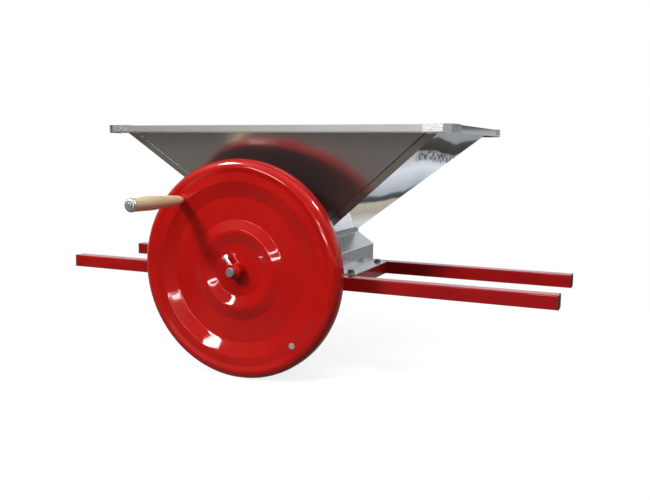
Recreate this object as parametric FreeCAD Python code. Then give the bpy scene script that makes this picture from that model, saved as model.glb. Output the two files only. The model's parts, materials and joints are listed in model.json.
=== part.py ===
import FreeCAD, Part
import math
import os

# Hand-cranked fruit crusher: a sheet hopper over two fluted rollers, carried on two long rails
# that lie across a vat, and driven by a heavy dished flywheel with a turning grip.
# Frame: +X along the rails, +Y away from the flywheel, +Z up. The origin is the plan centre of
# the frame, level with the underside of the rails. All sizes are in millimetres.

Vector = FreeCAD.Vector
X_AXIS = Vector(1, 0, 0)
Y_AXIS = Vector(0, 1, 0)
Z_AXIS = Vector(0, 0, 1)
ORIGIN = Vector(0, 0, 0)

# ---- frame ----
TUBE = 30.0                      # square tube side
TUBE_WALL = 2.0
RAIL_LENGTH = 1202.0
RAIL_Y = 129.0                   # middle of each rail
RAIL_INNER = RAIL_Y - TUBE / 2
RAIL_OUTER = RAIL_Y + TUBE / 2
CROSS_X = 145.0                  # middle of each cross member
CAP_HEAD = 3.0                   # end cap: thickness outside the tube
CAP_PLUG = 14.0                  # end cap: depth inside the tube

# ---- roller housing ----
SHEET = 1.5
HOUSING_X = 123.0                # outer face of the upright sides
HOUSING_Y = 118.0                # outer face of the front and rear plates
PLATE_INNER = HOUSING_Y - SHEET
SHOULDER_Z = 74.0
THROAT_X = 82.0                  # outer face of the upstand round the throat
THROAT_Z = 102.0
HOUSING_TOP = 110.0
FLANGE_X = 162.0                 # outer edge of the flange on the cross member
FLANGE_Y = 105.0
TAB = 12.0                       # tabs that join the sides to the plates
HOUSING_BOLT_Y = 88.0
THROAT_SCREW_X = (-30, 0, 30)
THROAT_SCREW_Z = 106.0

# ---- hopper ----
HOPPER_SHEET = 1.2
COLLAR_BOTTOM = 101.0
COLLAR_X = THROAT_X - SHEET - HOPPER_SHEET     # inner face of the hopper where it meets the throat
COLLAR_Y = PLATE_INNER - HOPPER_SHEET
RIM_TOP = 358.0
RIM_INNER_X = 388.0
RIM_INNER_Y = 215.5
RIM_OUTER_X = 408.5
RIM_OUTER_Y = 245.0
LIP = 16.0                       # depth of the turned-down lip
CORNER_RADIUS = 25.0
LAP = 15.0                       # width of the seam flanges
RIM_CAP_ARM = 60.0
RIM_CAP_TOP_X = 18.0
RIM_CAP_TOP_Y = 25.0
RIM_SCREW_FROM_CORNER = 45.0
RIM_SCREW_Z = RIM_TOP - LIP / 2

# ---- rollers, shafts and gears ----
AXIS_X = 53.0                    # drive axis at -X, idler axis at +X
AXIS_Z = 47.0
SHAFT_RADIUS = 10.0
ROLLER_RADIUS = 50.0
ROLLER_HALF = 113.0
FLUTES = 8
FLUTE_RADIUS = 15.0
RUNNING_CLEARANCE = 0.05
BLOCK_LENGTH = 80.0
BLOCK_WIDTH = 24.0
BLOCK_FOOT = 10.0
BLOCK_RADIUS = 24.0
BUSH_RADIUS = 13.0
BLOCK_BOLT_X = 32.0
BLOCK_OUTER_Y = RAIL_OUTER - 1.0 # outer face of the blocks; they clear the housing plates inside
GEAR_TEETH = 16
GEAR_BACK_Y = -151.0
GEAR_WIDTH = 20.0
GEAR_HUB = 12.0
GEAR_HUB_RADIUS = 18.0
COLLAR_RADIUS = 17.0
COLLAR_WIDTH = 12.0
REAR_SHAFT_END = 164.0
IDLER_FRONT_END = -185.0
COVER_FRONT_Y = -190.0
COVER_RADIUS = 66.0
COVER_TAB_START = 93.0           # the cover's tabs run out along the front rail from here
COVER_TAB_END = 137.0
COVER_SCREWS_X = (-128.0, 128.0)
ROLLER_PIN_Y = -85.0
ROLLER_PIN_HALF = 34.0

# ---- flywheel and handle ----
WHEEL_RADIUS = 240.0
WHEEL_FACE_Y = -265.0            # foremost plane of the pressed disc
WHEEL_SKIRT = 33.0
WHEEL_SHEET = 2.0
WHEEL_BAND_DEPTH = 2.2           # the flat band that carries the handle, behind the foremost plane
HUB_RADIUS = 17.0
HUB_FRONT = -13.0                # distances along +Y from the foremost plane
HUB_BACK = 45.0
SHAFT_FRONT = -25.0
SET_BOLT_Y = -3.0
SET_BOLT_ANGLE = 129.5
SET_BOLT_SEAT = 34.0             # radius of the underside of its head
HANDLE_RADIUS = 201.0
HANDLE_ANGLE = 132.7
RIVET_RADIUS = 202.0
RIVET_ANGLE = -48.0
GRIP_LENGTH = 167.0
GRIP_START = 2.0                 # from the foremost plane of the disc to the near end of the grip
HANDLE_BOLT_RADIUS = 4.0
END_CAP_RADIUS = 14.5
END_CAP_HEIGHT = 7.0


# ---- basic shapes ----
def box(x0, x1, y0, y1, z0, z1):
    return Part.makeBox(x1 - x0, y1 - y0, z1 - z0, Vector(x0, y0, z0))


def rod(start, direction, radius, length):
    return Part.makeCylinder(radius, length, start, direction)


def hexagon(start, direction, across_flats, height):
    """Hexagonal prism that grows from start along direction."""
    corner = across_flats / math.sqrt(3)
    points = []
    for step in range(7):
        angle = math.radians(60 * step)
        points.append(Vector(corner * math.cos(angle), corner * math.sin(angle), 0))
    prism = Part.Face(Part.makePolygon(points)).extrude(Vector(0, 0, height))
    prism.Placement = FreeCAD.Placement(start, FreeCAD.Rotation(Z_AXIS, direction))
    return prism


def hex_bolt(seat, direction, radius, length, across_flats, head):
    """Bolt whose head stands on seat, with its shank going along direction."""
    shank = rod(seat, direction, radius, length)
    cap = hexagon(seat, direction * -1, across_flats, head)
    return shank.fuse(cap).removeSplitter()


def round_bolt(seat, direction, radius, length, head_radius, head):
    """Bolt or rivet like hex_bolt, with a round head whose outer edge is rolled over."""
    shank = rod(seat, direction, radius, length)
    cap = rod(seat, direction * -1, head_radius, head)
    cap = cap.makeFillet(head * 0.6, [outer_circle(cap, seat - direction * head)])
    return shank.fuse(cap)


def outer_circle(cylinder, centre):
    """The circular edge of a cylinder whose centre is at the given point."""
    rings = [edge for edge in cylinder.Edges if isinstance(edge.Curve, Part.Circle)]
    return min(rings, key=lambda edge: edge.Curve.Center.distanceToPoint(centre))


def hex_nut(seat, direction, hole_radius, across_flats, height):
    body = hexagon(seat, direction, across_flats, height)
    return body.cut(rod(seat, direction, hole_radius, height))


def ring(start, direction, inner, outer, height):
    return rod(start, direction, outer, height).cut(rod(start, direction, inner, height))


def tapered_box(x_low, y_low, z_low, x_high, y_high, z_high):
    """Six-sided solid between two level rectangles, each given by its x and y limits."""
    low = [Vector(x_low[i], y_low[j], z_low) for i, j in ((0, 0), (1, 0), (1, 1), (0, 1))]
    high = [Vector(x_high[i], y_high[j], z_high) for i, j in ((0, 0), (1, 0), (1, 1), (0, 1))]
    faces = [Part.Face(Part.makePolygon(low + low[:1])), Part.Face(Part.makePolygon(high + high[:1]))]
    for i in range(4):
        j = (i + 1) % 4
        faces.append(Part.Face(Part.makePolygon([low[i], low[j], high[j], high[i], low[i]])))
    return Part.makeSolid(Part.makeShell(faces))


def rounded_path(corners, radii):
    """Open wire of straight runs joined by tangent arcs, one radius for each inner corner."""
    edges = []
    start = corners[0]
    for before, corner, after, radius in zip(corners, corners[1:], corners[2:], radii):
        back = (before - corner).normalize()
        ahead = (after - corner).normalize()
        half_angle = back.getAngle(ahead) / 2
        reach = radius / math.tan(half_angle)
        bisector = (back + ahead).normalize()
        centre = corner + bisector * (radius / math.sin(half_angle))
        arc_start = corner + back * reach
        arc_end = corner + ahead * reach
        edges.append(Part.makeLine(start, arc_start))
        edges.append(Part.Arc(arc_start, centre - bisector * radius, arc_end).toShape())
        start = arc_end
    edges.append(Part.makeLine(start, corners[-1]))
    return Part.Wire(edges)


def thickened(path, thickness, side):
    """Flat face between an open path and its offset, on the side that the point side is on."""
    options = [path.makeOffset2D(offset, 0, True, True) for offset in (thickness, -thickness)]
    return min(options, key=lambda face: face.CenterOfMass.distanceToPoint(side))


def mirrored(shape, flip_x, flip_y):
    if flip_x:
        shape = shape.mirror(ORIGIN, X_AXIS)
    if flip_y:
        shape = shape.mirror(ORIGIN, Y_AXIS)
    return shape


def four_corners(shape):
    return [mirrored(shape, flip_x, flip_y) for flip_x in (False, True) for flip_y in (False, True)]


def cut_all(shape, tools):
    for tool in tools:
        shape = shape.cut(tool)
    return shape


def wheel_point(radius, angle, along):
    """Point on the flywheel: distance and angle about its axis, and distance behind its face."""
    x = -AXIS_X + radius * math.cos(math.radians(angle))
    z = AXIS_Z + radius * math.sin(math.radians(angle))
    return Vector(x, WHEEL_FACE_Y + along, z)


# ---- frame ----
def square_tube(length):
    """Tube along X, centred on the origin in X and Y, standing on z = 0."""
    half = length / 2
    outer = box(-half, half, -TUBE / 2, TUBE / 2, 0, TUBE)
    outer = outer.makeFillet(2.5, [edge for edge in outer.Edges if edge.Length > length - 1])
    inner = box(-half, half, TUBE_WALL - TUBE / 2, TUBE / 2 - TUBE_WALL, TUBE_WALL, TUBE - TUBE_WALL)
    return outer.cut(inner)


def block_bolt_places():
    return [(side * AXIS_X + offset) for side in (-1, 1) for offset in (-BLOCK_BOLT_X, BLOCK_BOLT_X)]


def rail(flip_y):
    shape = square_tube(RAIL_LENGTH)
    holes = [rod(Vector(x, 0, TUBE / 2), Z_AXIS, 4.5, TUBE) for x in block_bolt_places()]
    shape = cut_all(shape, holes)
    shape.translate(Vector(0, -RAIL_Y, 0))
    if flip_y:
        return shape.mirror(ORIGIN, Y_AXIS)
    screws = [rod(Vector(x, -RAIL_OUTER - 1, TUBE / 2), Y_AXIS, 3.0, 5) for x in COVER_SCREWS_X]
    return cut_all(shape, screws)


def cross_member(flip_x):
    shape = square_tube(2 * RAIL_INNER)
    holes = [rod(Vector(y, 0, TUBE / 2), Z_AXIS, 4.5, TUBE) for y in (-HOUSING_BOLT_Y, HOUSING_BOLT_Y)]
    shape = cut_all(shape, holes)
    shape.rotate(ORIGIN, Z_AXIS, 90)
    shape.translate(Vector(CROSS_X, 0, 0))
    return mirrored(shape, flip_x, False)


def rail_end_caps():
    end = RAIL_LENGTH / 2
    half = TUBE / 2
    inner = half - TUBE_WALL - 0.1
    head = box(end, end + CAP_HEAD, -half, half, 0, TUBE)
    outer_edges = [edge for edge in head.Edges if edge.BoundBox.XMin > end + 0.5 * CAP_HEAD]
    head = head.makeFillet(2.2, outer_edges)
    plug = box(end - CAP_PLUG, end, -inner, inner, half - inner, half + inner)
    shape = head.fuse(plug)
    shape.translate(Vector(0, RAIL_Y, 0))
    return four_corners(shape)


# ---- roller housing ----
def housing_plate(flip_y):
    """Front plate: stands on the rails and closes the housing, with two holes for the shafts."""
    half = HOUSING_X
    outline = [(-half, TUBE), (half, TUBE), (half, SHOULDER_Z), (THROAT_X, THROAT_Z), (THROAT_X, HOUSING_TOP)]
    outline += [(-THROAT_X, HOUSING_TOP), (-THROAT_X, THROAT_Z), (-half, SHOULDER_Z), (-half, TUBE)]
    points = [Vector(x, -HOUSING_Y, z) for x, z in outline]
    shape = Part.Face(Part.makePolygon(points)).extrude(Vector(0, SHEET, 0))
    before = -HOUSING_Y - 1
    tools = [rod(Vector(x, before, AXIS_Z), Y_AXIS, 12, 5) for x in (-AXIS_X, AXIS_X)]
    tools += [rod(Vector(x, before, z), Y_AXIS, 2.1, 5) for x, z in housing_rivet_places()]
    tools += [rod(Vector(x, before, THROAT_SCREW_Z), Y_AXIS, 2.6, 5) for x in THROAT_SCREW_X]
    return mirrored(cut_all(shape, tools), False, flip_y)


def housing_rivet_places():
    x = HOUSING_X - SHEET - TAB / 2
    return [(side * x, z) for side in (-1, 1) for z in (44, 62)]


def housing_side(flip_x):
    """One bent sheet: flange on the cross member, upright wall, sloping shoulder and upstand."""
    top = TUBE + SHEET
    outline = [(FLANGE_X, top), (HOUSING_X, top), (HOUSING_X, SHOULDER_Z), (THROAT_X, THROAT_Z)]
    outline.append((THROAT_X, HOUSING_TOP))
    path = rounded_path([Vector(x, -PLATE_INNER, z) for x, z in outline], [1.0, 2.5, 1.0])
    sheet = thickened(path, SHEET, Vector(0, -PLATE_INNER, 0)).extrude(Vector(0, 2 * PLATE_INNER, 0))
    for side in (-1, 1):
        end = sorted((side * FLANGE_Y, side * (PLATE_INNER + 1)))
        sheet = sheet.cut(box(HOUSING_X, FLANGE_X + 1, end[0], end[1], TUBE - 1, top + 1))
    inner = HOUSING_X - SHEET
    for y in (-PLATE_INNER, PLATE_INNER - SHEET):
        tab = box(inner - TAB, inner + 0.2, y, y + SHEET, TUBE + 5, SHOULDER_Z - 5)
        tools = [rod(Vector(inner - TAB / 2, y - 1, z), Y_AXIS, 2.1, 5) for x, z in housing_rivet_places()]
        sheet = sheet.fuse(cut_all(tab, tools))
    holes = [rod(Vector(CROSS_X, y, TUBE - 1), Z_AXIS, 4.5, 5) for y in (-HOUSING_BOLT_Y, HOUSING_BOLT_Y)]
    return mirrored(cut_all(sheet.removeSplitter(), holes), flip_x, False)


def housing_bolts():
    seat = Vector(CROSS_X, HOUSING_BOLT_Y, TUBE + SHEET + 1.6)
    return four_corners(hex_bolt(seat, Z_AXIS * -1, 4, 16, 13, 5.5))


def housing_washers():
    return four_corners(ring(Vector(CROSS_X, HOUSING_BOLT_Y, TUBE + SHEET), Z_AXIS, 4.5, 9, 1.6))


def housing_nuts():
    """Nuts welded inside the cross members, under their top walls."""
    seat = Vector(CROSS_X, HOUSING_BOLT_Y, TUBE - TUBE_WALL)
    return four_corners(hex_nut(seat, Z_AXIS * -1, 4.02, 13, 6.5))


def housing_rivets():
    rivets = []
    for x, z in housing_rivet_places():
        seat = Vector(x, -HOUSING_Y, z)
        rivet = round_bolt(seat, Y_AXIS, 2, 2 * SHEET + 1, 4, 1.2)
        tail = rod(seat + Y_AXIS * (2 * SHEET), Y_AXIS, 3, 1.2)
        rivet = rivet.fuse(tail)
        rivets += [rivet, rivet.mirror(ORIGIN, Y_AXIS)]
    return rivets


# ---- hopper ----
def slope(inner_low, inner_high):
    return (inner_high - inner_low) / (RIM_TOP - HOUSING_TOP)


def level_offset(rate):
    """Level distance across a sheet that leans outwards at the given rate."""
    return HOPPER_SHEET * math.sqrt(1 + rate * rate)


RATE_X = slope(COLLAR_X, RIM_INNER_X)
RATE_Y = slope(COLLAR_Y, RIM_INNER_Y)
WALL_X = level_offset(RATE_X)
WALL_Y = level_offset(RATE_Y)
PANEL_TOP = RIM_TOP - HOPPER_SHEET


def inner_x(z):
    return COLLAR_X + RATE_X * (z - HOUSING_TOP)


def inner_y(z):
    return COLLAR_Y + RATE_Y * (z - HOUSING_TOP)


def leaning_slab(x_limits, y_limits):
    """Part of the hopper wall, with limits given as functions of height."""
    low = HOUSING_TOP
    high = PANEL_TOP
    return tapered_box(x_limits(low), y_limits(low), low, x_limits(high), y_limits(high), high)


def throat_screw_holes():
    return [rod(Vector(x, -HOUSING_Y, THROAT_SCREW_Z), Y_AXIS, 2.6, 6) for x in THROAT_SCREW_X]


def hopper_front(flip_y):
    wall = leaning_slab(lambda z: (-inner_x(z), inner_x(z)), lambda z: (-inner_y(z) - WALL_Y, -inner_y(z)))
    collar = box(-COLLAR_X, COLLAR_X, -PLATE_INNER, -COLLAR_Y, COLLAR_BOTTOM, HOUSING_TOP)
    flange_x = inner_x(PANEL_TOP)
    flange = box(-flange_x, flange_x, -RIM_OUTER_Y, -inner_y(PANEL_TOP), PANEL_TOP, RIM_TOP)
    lip_x = RIM_OUTER_X - CORNER_RADIUS
    lip = box(-lip_x, lip_x, -RIM_OUTER_Y, HOPPER_SHEET - RIM_OUTER_Y, RIM_TOP - LIP, PANEL_TOP)
    corner = box(lip_x, flange_x + 1, -RIM_OUTER_Y - 1, -RIM_OUTER_Y + 3, PANEL_TOP - 1, RIM_TOP + 1)
    shape = wall.fuse([collar, flange.cut(corner).cut(corner.mirror(ORIGIN, X_AXIS)), lip])
    screw_x = RIM_OUTER_X - RIM_SCREW_FROM_CORNER
    tools = [rod(Vector(x, -RIM_OUTER_Y - 1, RIM_SCREW_Z), Y_AXIS, 2.1, 4) for x in (-screw_x, screw_x)]
    return mirrored(cut_all(shape.removeSplitter(), tools + throat_screw_holes()), False, flip_y)


def hopper_side(flip_x):
    """End panel with its two seam flanges, which lap over the front and rear panels."""
    lap_x = LAP * math.sqrt(1 + RATE_X * RATE_X)
    shape = leaning_slab(lambda z: (inner_x(z), inner_x(z) + WALL_X),
                         lambda z: (-inner_y(z) - 2 * WALL_Y, inner_y(z) + 2 * WALL_Y))
    seam = leaning_slab(lambda z: (inner_x(z) - lap_x, inner_x(z)),
                        lambda z: (-inner_y(z) - 2 * WALL_Y, -inner_y(z) - WALL_Y))
    collar = box(COLLAR_X, COLLAR_X + HOPPER_SHEET, -COLLAR_Y, COLLAR_Y, COLLAR_BOTTOM, HOUSING_TOP)
    edge_y = RIM_OUTER_Y - CORNER_RADIUS
    flange = box(inner_x(PANEL_TOP), RIM_OUTER_X, -edge_y, edge_y, PANEL_TOP, RIM_TOP)
    lip = box(RIM_OUTER_X - HOPPER_SHEET, RIM_OUTER_X, -edge_y, edge_y, RIM_TOP - LIP, PANEL_TOP)
    shape = shape.fuse([seam, seam.mirror(ORIGIN, Y_AXIS), collar, flange, lip])
    screw_y = RIM_OUTER_Y - RIM_SCREW_FROM_CORNER
    tools = [rod(Vector(RIM_OUTER_X + 1, y, RIM_SCREW_Z), X_AXIS * -1, 2.1, 4) for y in (-screw_y, screw_y)]
    return mirrored(cut_all(shape.removeSplitter(), tools), flip_x, False)


def rim_corner(inset, z_low, z_high):
    """Block over one rounded rim corner, pulled in from the outside of the cap by inset."""
    out_x = RIM_OUTER_X + HOPPER_SHEET - inset
    out_y = RIM_OUTER_Y + HOPPER_SHEET - inset
    block = box(RIM_OUTER_X - RIM_CAP_ARM, out_x, RIM_OUTER_Y - RIM_CAP_ARM, out_y, z_low, z_high)
    upright = Vector(out_x, out_y, (z_low + z_high) / 2)
    corner = min(block.Edges, key=lambda edge: edge.CenterOfMass.distanceToPoint(upright))
    return block.makeFillet(CORNER_RADIUS + HOPPER_SHEET - inset, [corner])


def rim_cap(flip_x, flip_y):
    """Pressed corner cap: a top plate and a skirt over the ends of two lips."""
    low = RIM_TOP - LIP - 1
    shape = rim_corner(0, low, RIM_TOP + HOPPER_SHEET)
    shape = shape.cut(rim_corner(HOPPER_SHEET, low, RIM_TOP))
    inside_x = RIM_OUTER_X - RIM_CAP_TOP_X
    inside_y = RIM_OUTER_Y - RIM_CAP_TOP_Y
    shape = shape.cut(box(inside_x - 100, inside_x, inside_y - 100, inside_y, low - 1, RIM_TOP + 5))
    screw_x = RIM_OUTER_X - RIM_SCREW_FROM_CORNER
    screw_y = RIM_OUTER_Y - RIM_SCREW_FROM_CORNER
    tools = [rod(Vector(screw_x, RIM_OUTER_Y + 3, RIM_SCREW_Z), Y_AXIS * -1, 2.1, 6),
             rod(Vector(RIM_OUTER_X + 3, screw_y, RIM_SCREW_Z), X_AXIS * -1, 2.1, 6)]
    return mirrored(cut_all(shape, tools), flip_x, flip_y)


def rim_cap_screws():
    outside = HOPPER_SHEET
    seat_y = Vector(RIM_OUTER_X - RIM_SCREW_FROM_CORNER, RIM_OUTER_Y + outside, RIM_SCREW_Z)
    seat_x = Vector(RIM_OUTER_X + outside, RIM_OUTER_Y - RIM_SCREW_FROM_CORNER, RIM_SCREW_Z)
    first = round_bolt(seat_y, Y_AXIS * -1, 2, 8, 2.8, 1.0)
    second = round_bolt(seat_x, X_AXIS * -1, 2, 8, 2.8, 1.0)
    return four_corners(first) + four_corners(second)


def throat_screws():
    screws = []
    for x in THROAT_SCREW_X:
        screw = hex_bolt(Vector(x, -HOUSING_Y, THROAT_SCREW_Z), Y_AXIS, 2.5, 8, 8, 3.5)
        screws += [screw, screw.mirror(ORIGIN, Y_AXIS)]
    return screws


def throat_nuts():
    nuts = []
    for x in THROAT_SCREW_X:
        nut = hex_nut(Vector(x, -COLLAR_Y, THROAT_SCREW_Z), Y_AXIS, 2.52, 8, 4)
        nuts += [nut, nut.mirror(ORIGIN, Y_AXIS)]
    return nuts


# ---- bearings ----
def bearing_block(side_x, side_y):
    """Cast pillow block on a rail, with its foot along the rail."""
    y0 = -BLOCK_OUTER_Y
    foot = box(-BLOCK_LENGTH / 2, BLOCK_LENGTH / 2, y0, y0 + BLOCK_WIDTH, TUBE, TUBE + BLOCK_FOOT)
    foot = foot.makeFillet(5, [edge for edge in foot.Edges if edge.BoundBox.ZLength > 5])
    cheek = box(-BLOCK_RADIUS, BLOCK_RADIUS, y0, y0 + BLOCK_WIDTH, TUBE, AXIS_Z)
    dome = rod(Vector(0, y0, AXIS_Z), Y_AXIS, BLOCK_RADIUS, BLOCK_WIDTH)
    dome = dome.cut(box(-50, 50, y0 - 1, y0 + BLOCK_WIDTH + 1, AXIS_Z - 60, AXIS_Z))
    shape = foot.fuse([cheek, dome]).removeSplitter()
    tools = [rod(Vector(0, y0 - 1, AXIS_Z), Y_AXIS, BUSH_RADIUS, BLOCK_WIDTH + 2)]
    for x in (-BLOCK_BOLT_X, BLOCK_BOLT_X):
        tools.append(rod(Vector(x, -RAIL_Y, TUBE - 1), Z_AXIS, 4.5, BLOCK_FOOT + 2))
    shape = cut_all(shape, tools)
    shape.translate(Vector(side_x * AXIS_X, 0, 0))
    return mirrored(shape, False, side_y > 0)


def bearing_bush(side_x, side_y):
    y0 = -BLOCK_OUTER_Y
    barrel = rod(Vector(side_x * AXIS_X, y0, AXIS_Z), Y_AXIS, BUSH_RADIUS, BLOCK_WIDTH)
    flange = rod(Vector(side_x * AXIS_X, y0 - 2, AXIS_Z), Y_AXIS, BUSH_RADIUS + 3.5, 2)
    bore_radius = SHAFT_RADIUS + RUNNING_CLEARANCE
    bore = rod(Vector(side_x * AXIS_X, y0 - 3, AXIS_Z), Y_AXIS, bore_radius, BLOCK_WIDTH + 6)
    return mirrored(barrel.fuse(flange).cut(bore), False, side_y > 0)


def bearing_bolts():
    bolts = []
    for x in block_bolt_places():
        bolt = hex_bolt(Vector(x, -RAIL_Y, TUBE + BLOCK_FOOT), Z_AXIS * -1, 4, BLOCK_FOOT + 12, 13, 5.5)
        bolts += [bolt, bolt.mirror(ORIGIN, Y_AXIS)]
    return bolts


def bearing_nuts():
    """Nuts welded inside the rails, under their top walls, so that the rails rest flat."""
    nuts = []
    for x in block_bolt_places():
        nut = hex_nut(Vector(x, -RAIL_Y, TUBE - TUBE_WALL), Z_AXIS * -1, 4.02, 13, 6.5)
        nuts += [nut, nut.mirror(ORIGIN, Y_AXIS)]
    return nuts


# ---- gear cover ----
def stadium(radius, y0, y1):
    """Block with a rounded end about each roller axis."""
    shape = box(-AXIS_X, AXIS_X, y0, y1, AXIS_Z - radius, AXIS_Z + radius)
    for x in (-AXIS_X, AXIS_X):
        shape = shape.fuse(rod(Vector(x, y0, AXIS_Z), Y_AXIS, radius, y1 - y0))
    return shape.removeSplitter()


def gear_cover():
    shape = stadium(COVER_RADIUS, COVER_FRONT_Y, -RAIL_OUTER)
    shape = shape.cut(stadium(COVER_RADIUS - SHEET, COVER_FRONT_Y + SHEET, -RAIL_OUTER))
    shape = shape.cut(rod(Vector(-AXIS_X, COVER_FRONT_Y - 1, AXIS_Z), Y_AXIS, SHAFT_RADIUS + 3, 4))
    for side in (-1, 1):
        ends = sorted((side * COVER_TAB_START, side * COVER_TAB_END))
        tab = box(ends[0], ends[1], -RAIL_OUTER - SHEET, -RAIL_OUTER, 4, TUBE - 4)
        tab = tab.cut(stadium(COVER_RADIUS - SHEET, -RAIL_OUTER - SHEET, -RAIL_OUTER))
        shape = shape.fuse(tab)
    holes = [rod(Vector(x, -RAIL_OUTER - 3, TUBE / 2), Y_AXIS, 3.2, 5) for x in COVER_SCREWS_X]
    return cut_all(shape.removeSplitter(), holes)


def gear_cover_screws():
    seat_y = -RAIL_OUTER - SHEET
    return [round_bolt(Vector(x, seat_y, TUBE / 2), Y_AXIS, 2.95, 10, 5.5, 3) for x in COVER_SCREWS_X]


# ---- shafts, rollers and gears ----
def shaft(x, y0, y1):
    shape = rod(Vector(x, y0, AXIS_Z), Y_AXIS, SHAFT_RADIUS, y1 - y0)
    rings = [edge for edge in shape.Edges if isinstance(edge.Curve, Part.Circle)]
    shape = shape.makeChamfer(1.2, rings)
    return shape.cut(rod(Vector(x, ROLLER_PIN_Y, AXIS_Z - 20), Z_AXIS, 3.05, 40))


def roller(x, turn):
    """Roller with rounded flutes, pinned to its shaft."""
    start = Vector(0, -ROLLER_HALF, 0)
    shape = rod(start, Y_AXIS, ROLLER_RADIUS, 2 * ROLLER_HALF)
    flutes = []
    reach = ROLLER_RADIUS + FLUTE_RADIUS * 0.45
    for step in range(FLUTES):
        angle = math.radians(turn + 360 * step / FLUTES)
        start = Vector(reach * math.cos(angle), -ROLLER_HALF - 1, reach * math.sin(angle))
        flutes.append(rod(start, Y_AXIS, FLUTE_RADIUS, 2 * ROLLER_HALF + 2))
    shape = cut_all(shape, flutes)
    shape = shape.cut(rod(Vector(0, -ROLLER_HALF - 1, 0), Y_AXIS, SHAFT_RADIUS, 2 * ROLLER_HALF + 2))
    shape = shape.cut(rod(Vector(0, ROLLER_PIN_Y, -60), Z_AXIS, 3.05, 120))
    shape.translate(Vector(x, 0, AXIS_Z))
    return shape


def roller_pin(x):
    return rod(Vector(x, ROLLER_PIN_Y, AXIS_Z - ROLLER_PIN_HALF), Z_AXIS, 3, 2 * ROLLER_PIN_HALF)


def involute_point(base_radius, radius, start_angle, hand):
    """Point at a given radius on an involute that leaves the base circle at start_angle."""
    pressure = math.acos(base_radius / radius)
    angle = start_angle + hand * (math.tan(pressure) - pressure)
    return Vector(radius * math.cos(angle), 0, radius * math.sin(angle))


def gear_outline():
    """Closed wire round all the teeth, with a tooth centred on +X."""
    pitch_radius = AXIS_X
    module = 2 * pitch_radius / GEAR_TEETH
    pressure = math.radians(20)
    backlash = 0.3
    base = pitch_radius * math.cos(pressure)
    tip = pitch_radius + 0.9 * module
    root = pitch_radius - 1.2 * module
    half_tooth = (math.pi * module / 4 - backlash) / pitch_radius + math.tan(pressure) - pressure
    samples = [base + 0.05 + (tip - base - 0.05) * step / 4 for step in range(5)]
    edges = []
    previous = None
    first = None
    for tooth in range(GEAR_TEETH):
        centre = 2 * math.pi * tooth / GEAR_TEETH
        rising = [involute_point(base, radius, centre - half_tooth, 1) for radius in samples]
        falling = [involute_point(base, radius, centre + half_tooth, -1) for radius in reversed(samples)]
        foot_in = Vector(root * math.cos(centre - half_tooth), 0, root * math.sin(centre - half_tooth))
        foot_out = Vector(root * math.cos(centre + half_tooth), 0, root * math.sin(centre + half_tooth))
        tip_middle = Vector(tip * math.cos(centre), 0, tip * math.sin(centre))
        if previous is None:
            first = foot_in
        else:
            edges.append(root_arc(previous, foot_in, root))
        edges.append(Part.makeLine(foot_in, rising[0]))
        edges.append(smooth_curve(rising))
        edges.append(Part.Arc(rising[-1], tip_middle, falling[0]).toShape())
        edges.append(smooth_curve(falling))
        edges.append(Part.makeLine(falling[-1], foot_out))
        previous = foot_out
    edges.append(root_arc(previous, first, root))
    return Part.Wire(edges)


def root_arc(start, end, radius):
    middle = (start + end).normalize() * radius
    return Part.Arc(start, middle, end).toShape()


def smooth_curve(points):
    curve = Part.BSplineCurve()
    curve.interpolate(points)
    return curve.toShape()


def gear(x, turn):
    """Toothed wheel with a long hub in front and a short spacer boss behind."""
    blank = Part.Face(gear_outline()).extrude(Vector(0, -GEAR_WIDTH, 0))
    blank.rotate(ORIGIN, Y_AXIS, turn)
    hub = rod(Vector(0, -GEAR_WIDTH - GEAR_HUB, 0), Y_AXIS, GEAR_HUB_RADIUS, GEAR_HUB)
    boss = rod(ORIGIN, Y_AXIS, GEAR_HUB_RADIUS - 3, 5)
    shape = blank.fuse([hub, boss])
    web = ring(Vector(0, -GEAR_WIDTH - 1, 0), Y_AXIS, GEAR_HUB_RADIUS + 2, 38, 6)
    shape = shape.cut(web)
    shape = shape.cut(rod(Vector(0, -GEAR_WIDTH - GEAR_HUB - 1, 0), Y_AXIS, SHAFT_RADIUS, 60))
    shape = shape.cut(rod(Vector(0, -GEAR_WIDTH - GEAR_HUB / 2, 0), Z_AXIS, 3.05, 30))
    shape.translate(Vector(x, GEAR_BACK_Y, AXIS_Z))
    return shape


def gear_screw(x):
    start = Vector(x, GEAR_BACK_Y - GEAR_WIDTH - GEAR_HUB / 2, AXIS_Z + SHAFT_RADIUS + 0.05)
    return grub_screw(start, 9)


def grub_screw(start, length):
    """Set screw that stands upright, with a hexagon socket in its top."""
    screw = rod(start, Z_AXIS, 3, length)
    return screw.cut(hexagon(start + Z_AXIS * (length - 3), Z_AXIS, 3, 4))


def shaft_collar(x):
    start = Vector(x, REAR_SHAFT_END - COLLAR_WIDTH - 6, AXIS_Z)
    shape = ring(start, Y_AXIS, SHAFT_RADIUS, COLLAR_RADIUS, COLLAR_WIDTH)
    return shape.cut(rod(start + Y_AXIS * (COLLAR_WIDTH / 2), Z_AXIS, 3.05, 30))


def collar_screw(x):
    y = REAR_SHAFT_END - COLLAR_WIDTH - 6 + COLLAR_WIDTH / 2
    return grub_screw(Vector(x, y, AXIS_Z + SHAFT_RADIUS + 0.05), 8)


# ---- flywheel ----
# Each row: radius, distance behind the foremost plane, bend radius of the pressing.
WHEEL_PROFILE = (
    (WHEEL_RADIUS, WHEEL_SKIRT, 0),
    (WHEEL_RADIUS, 0, 18),
    (221, 0, 9),
    (211, WHEEL_BAND_DEPTH, 6),
    (192, WHEEL_BAND_DEPTH, 10),
    (160, 12, 12),
    (110, 12, 9),
    (88, 5.6, 9),
    (81, 5.6, 9),
    (57, 12.6, 10),
    (HUB_RADIUS, 13, 0),
)


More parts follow.
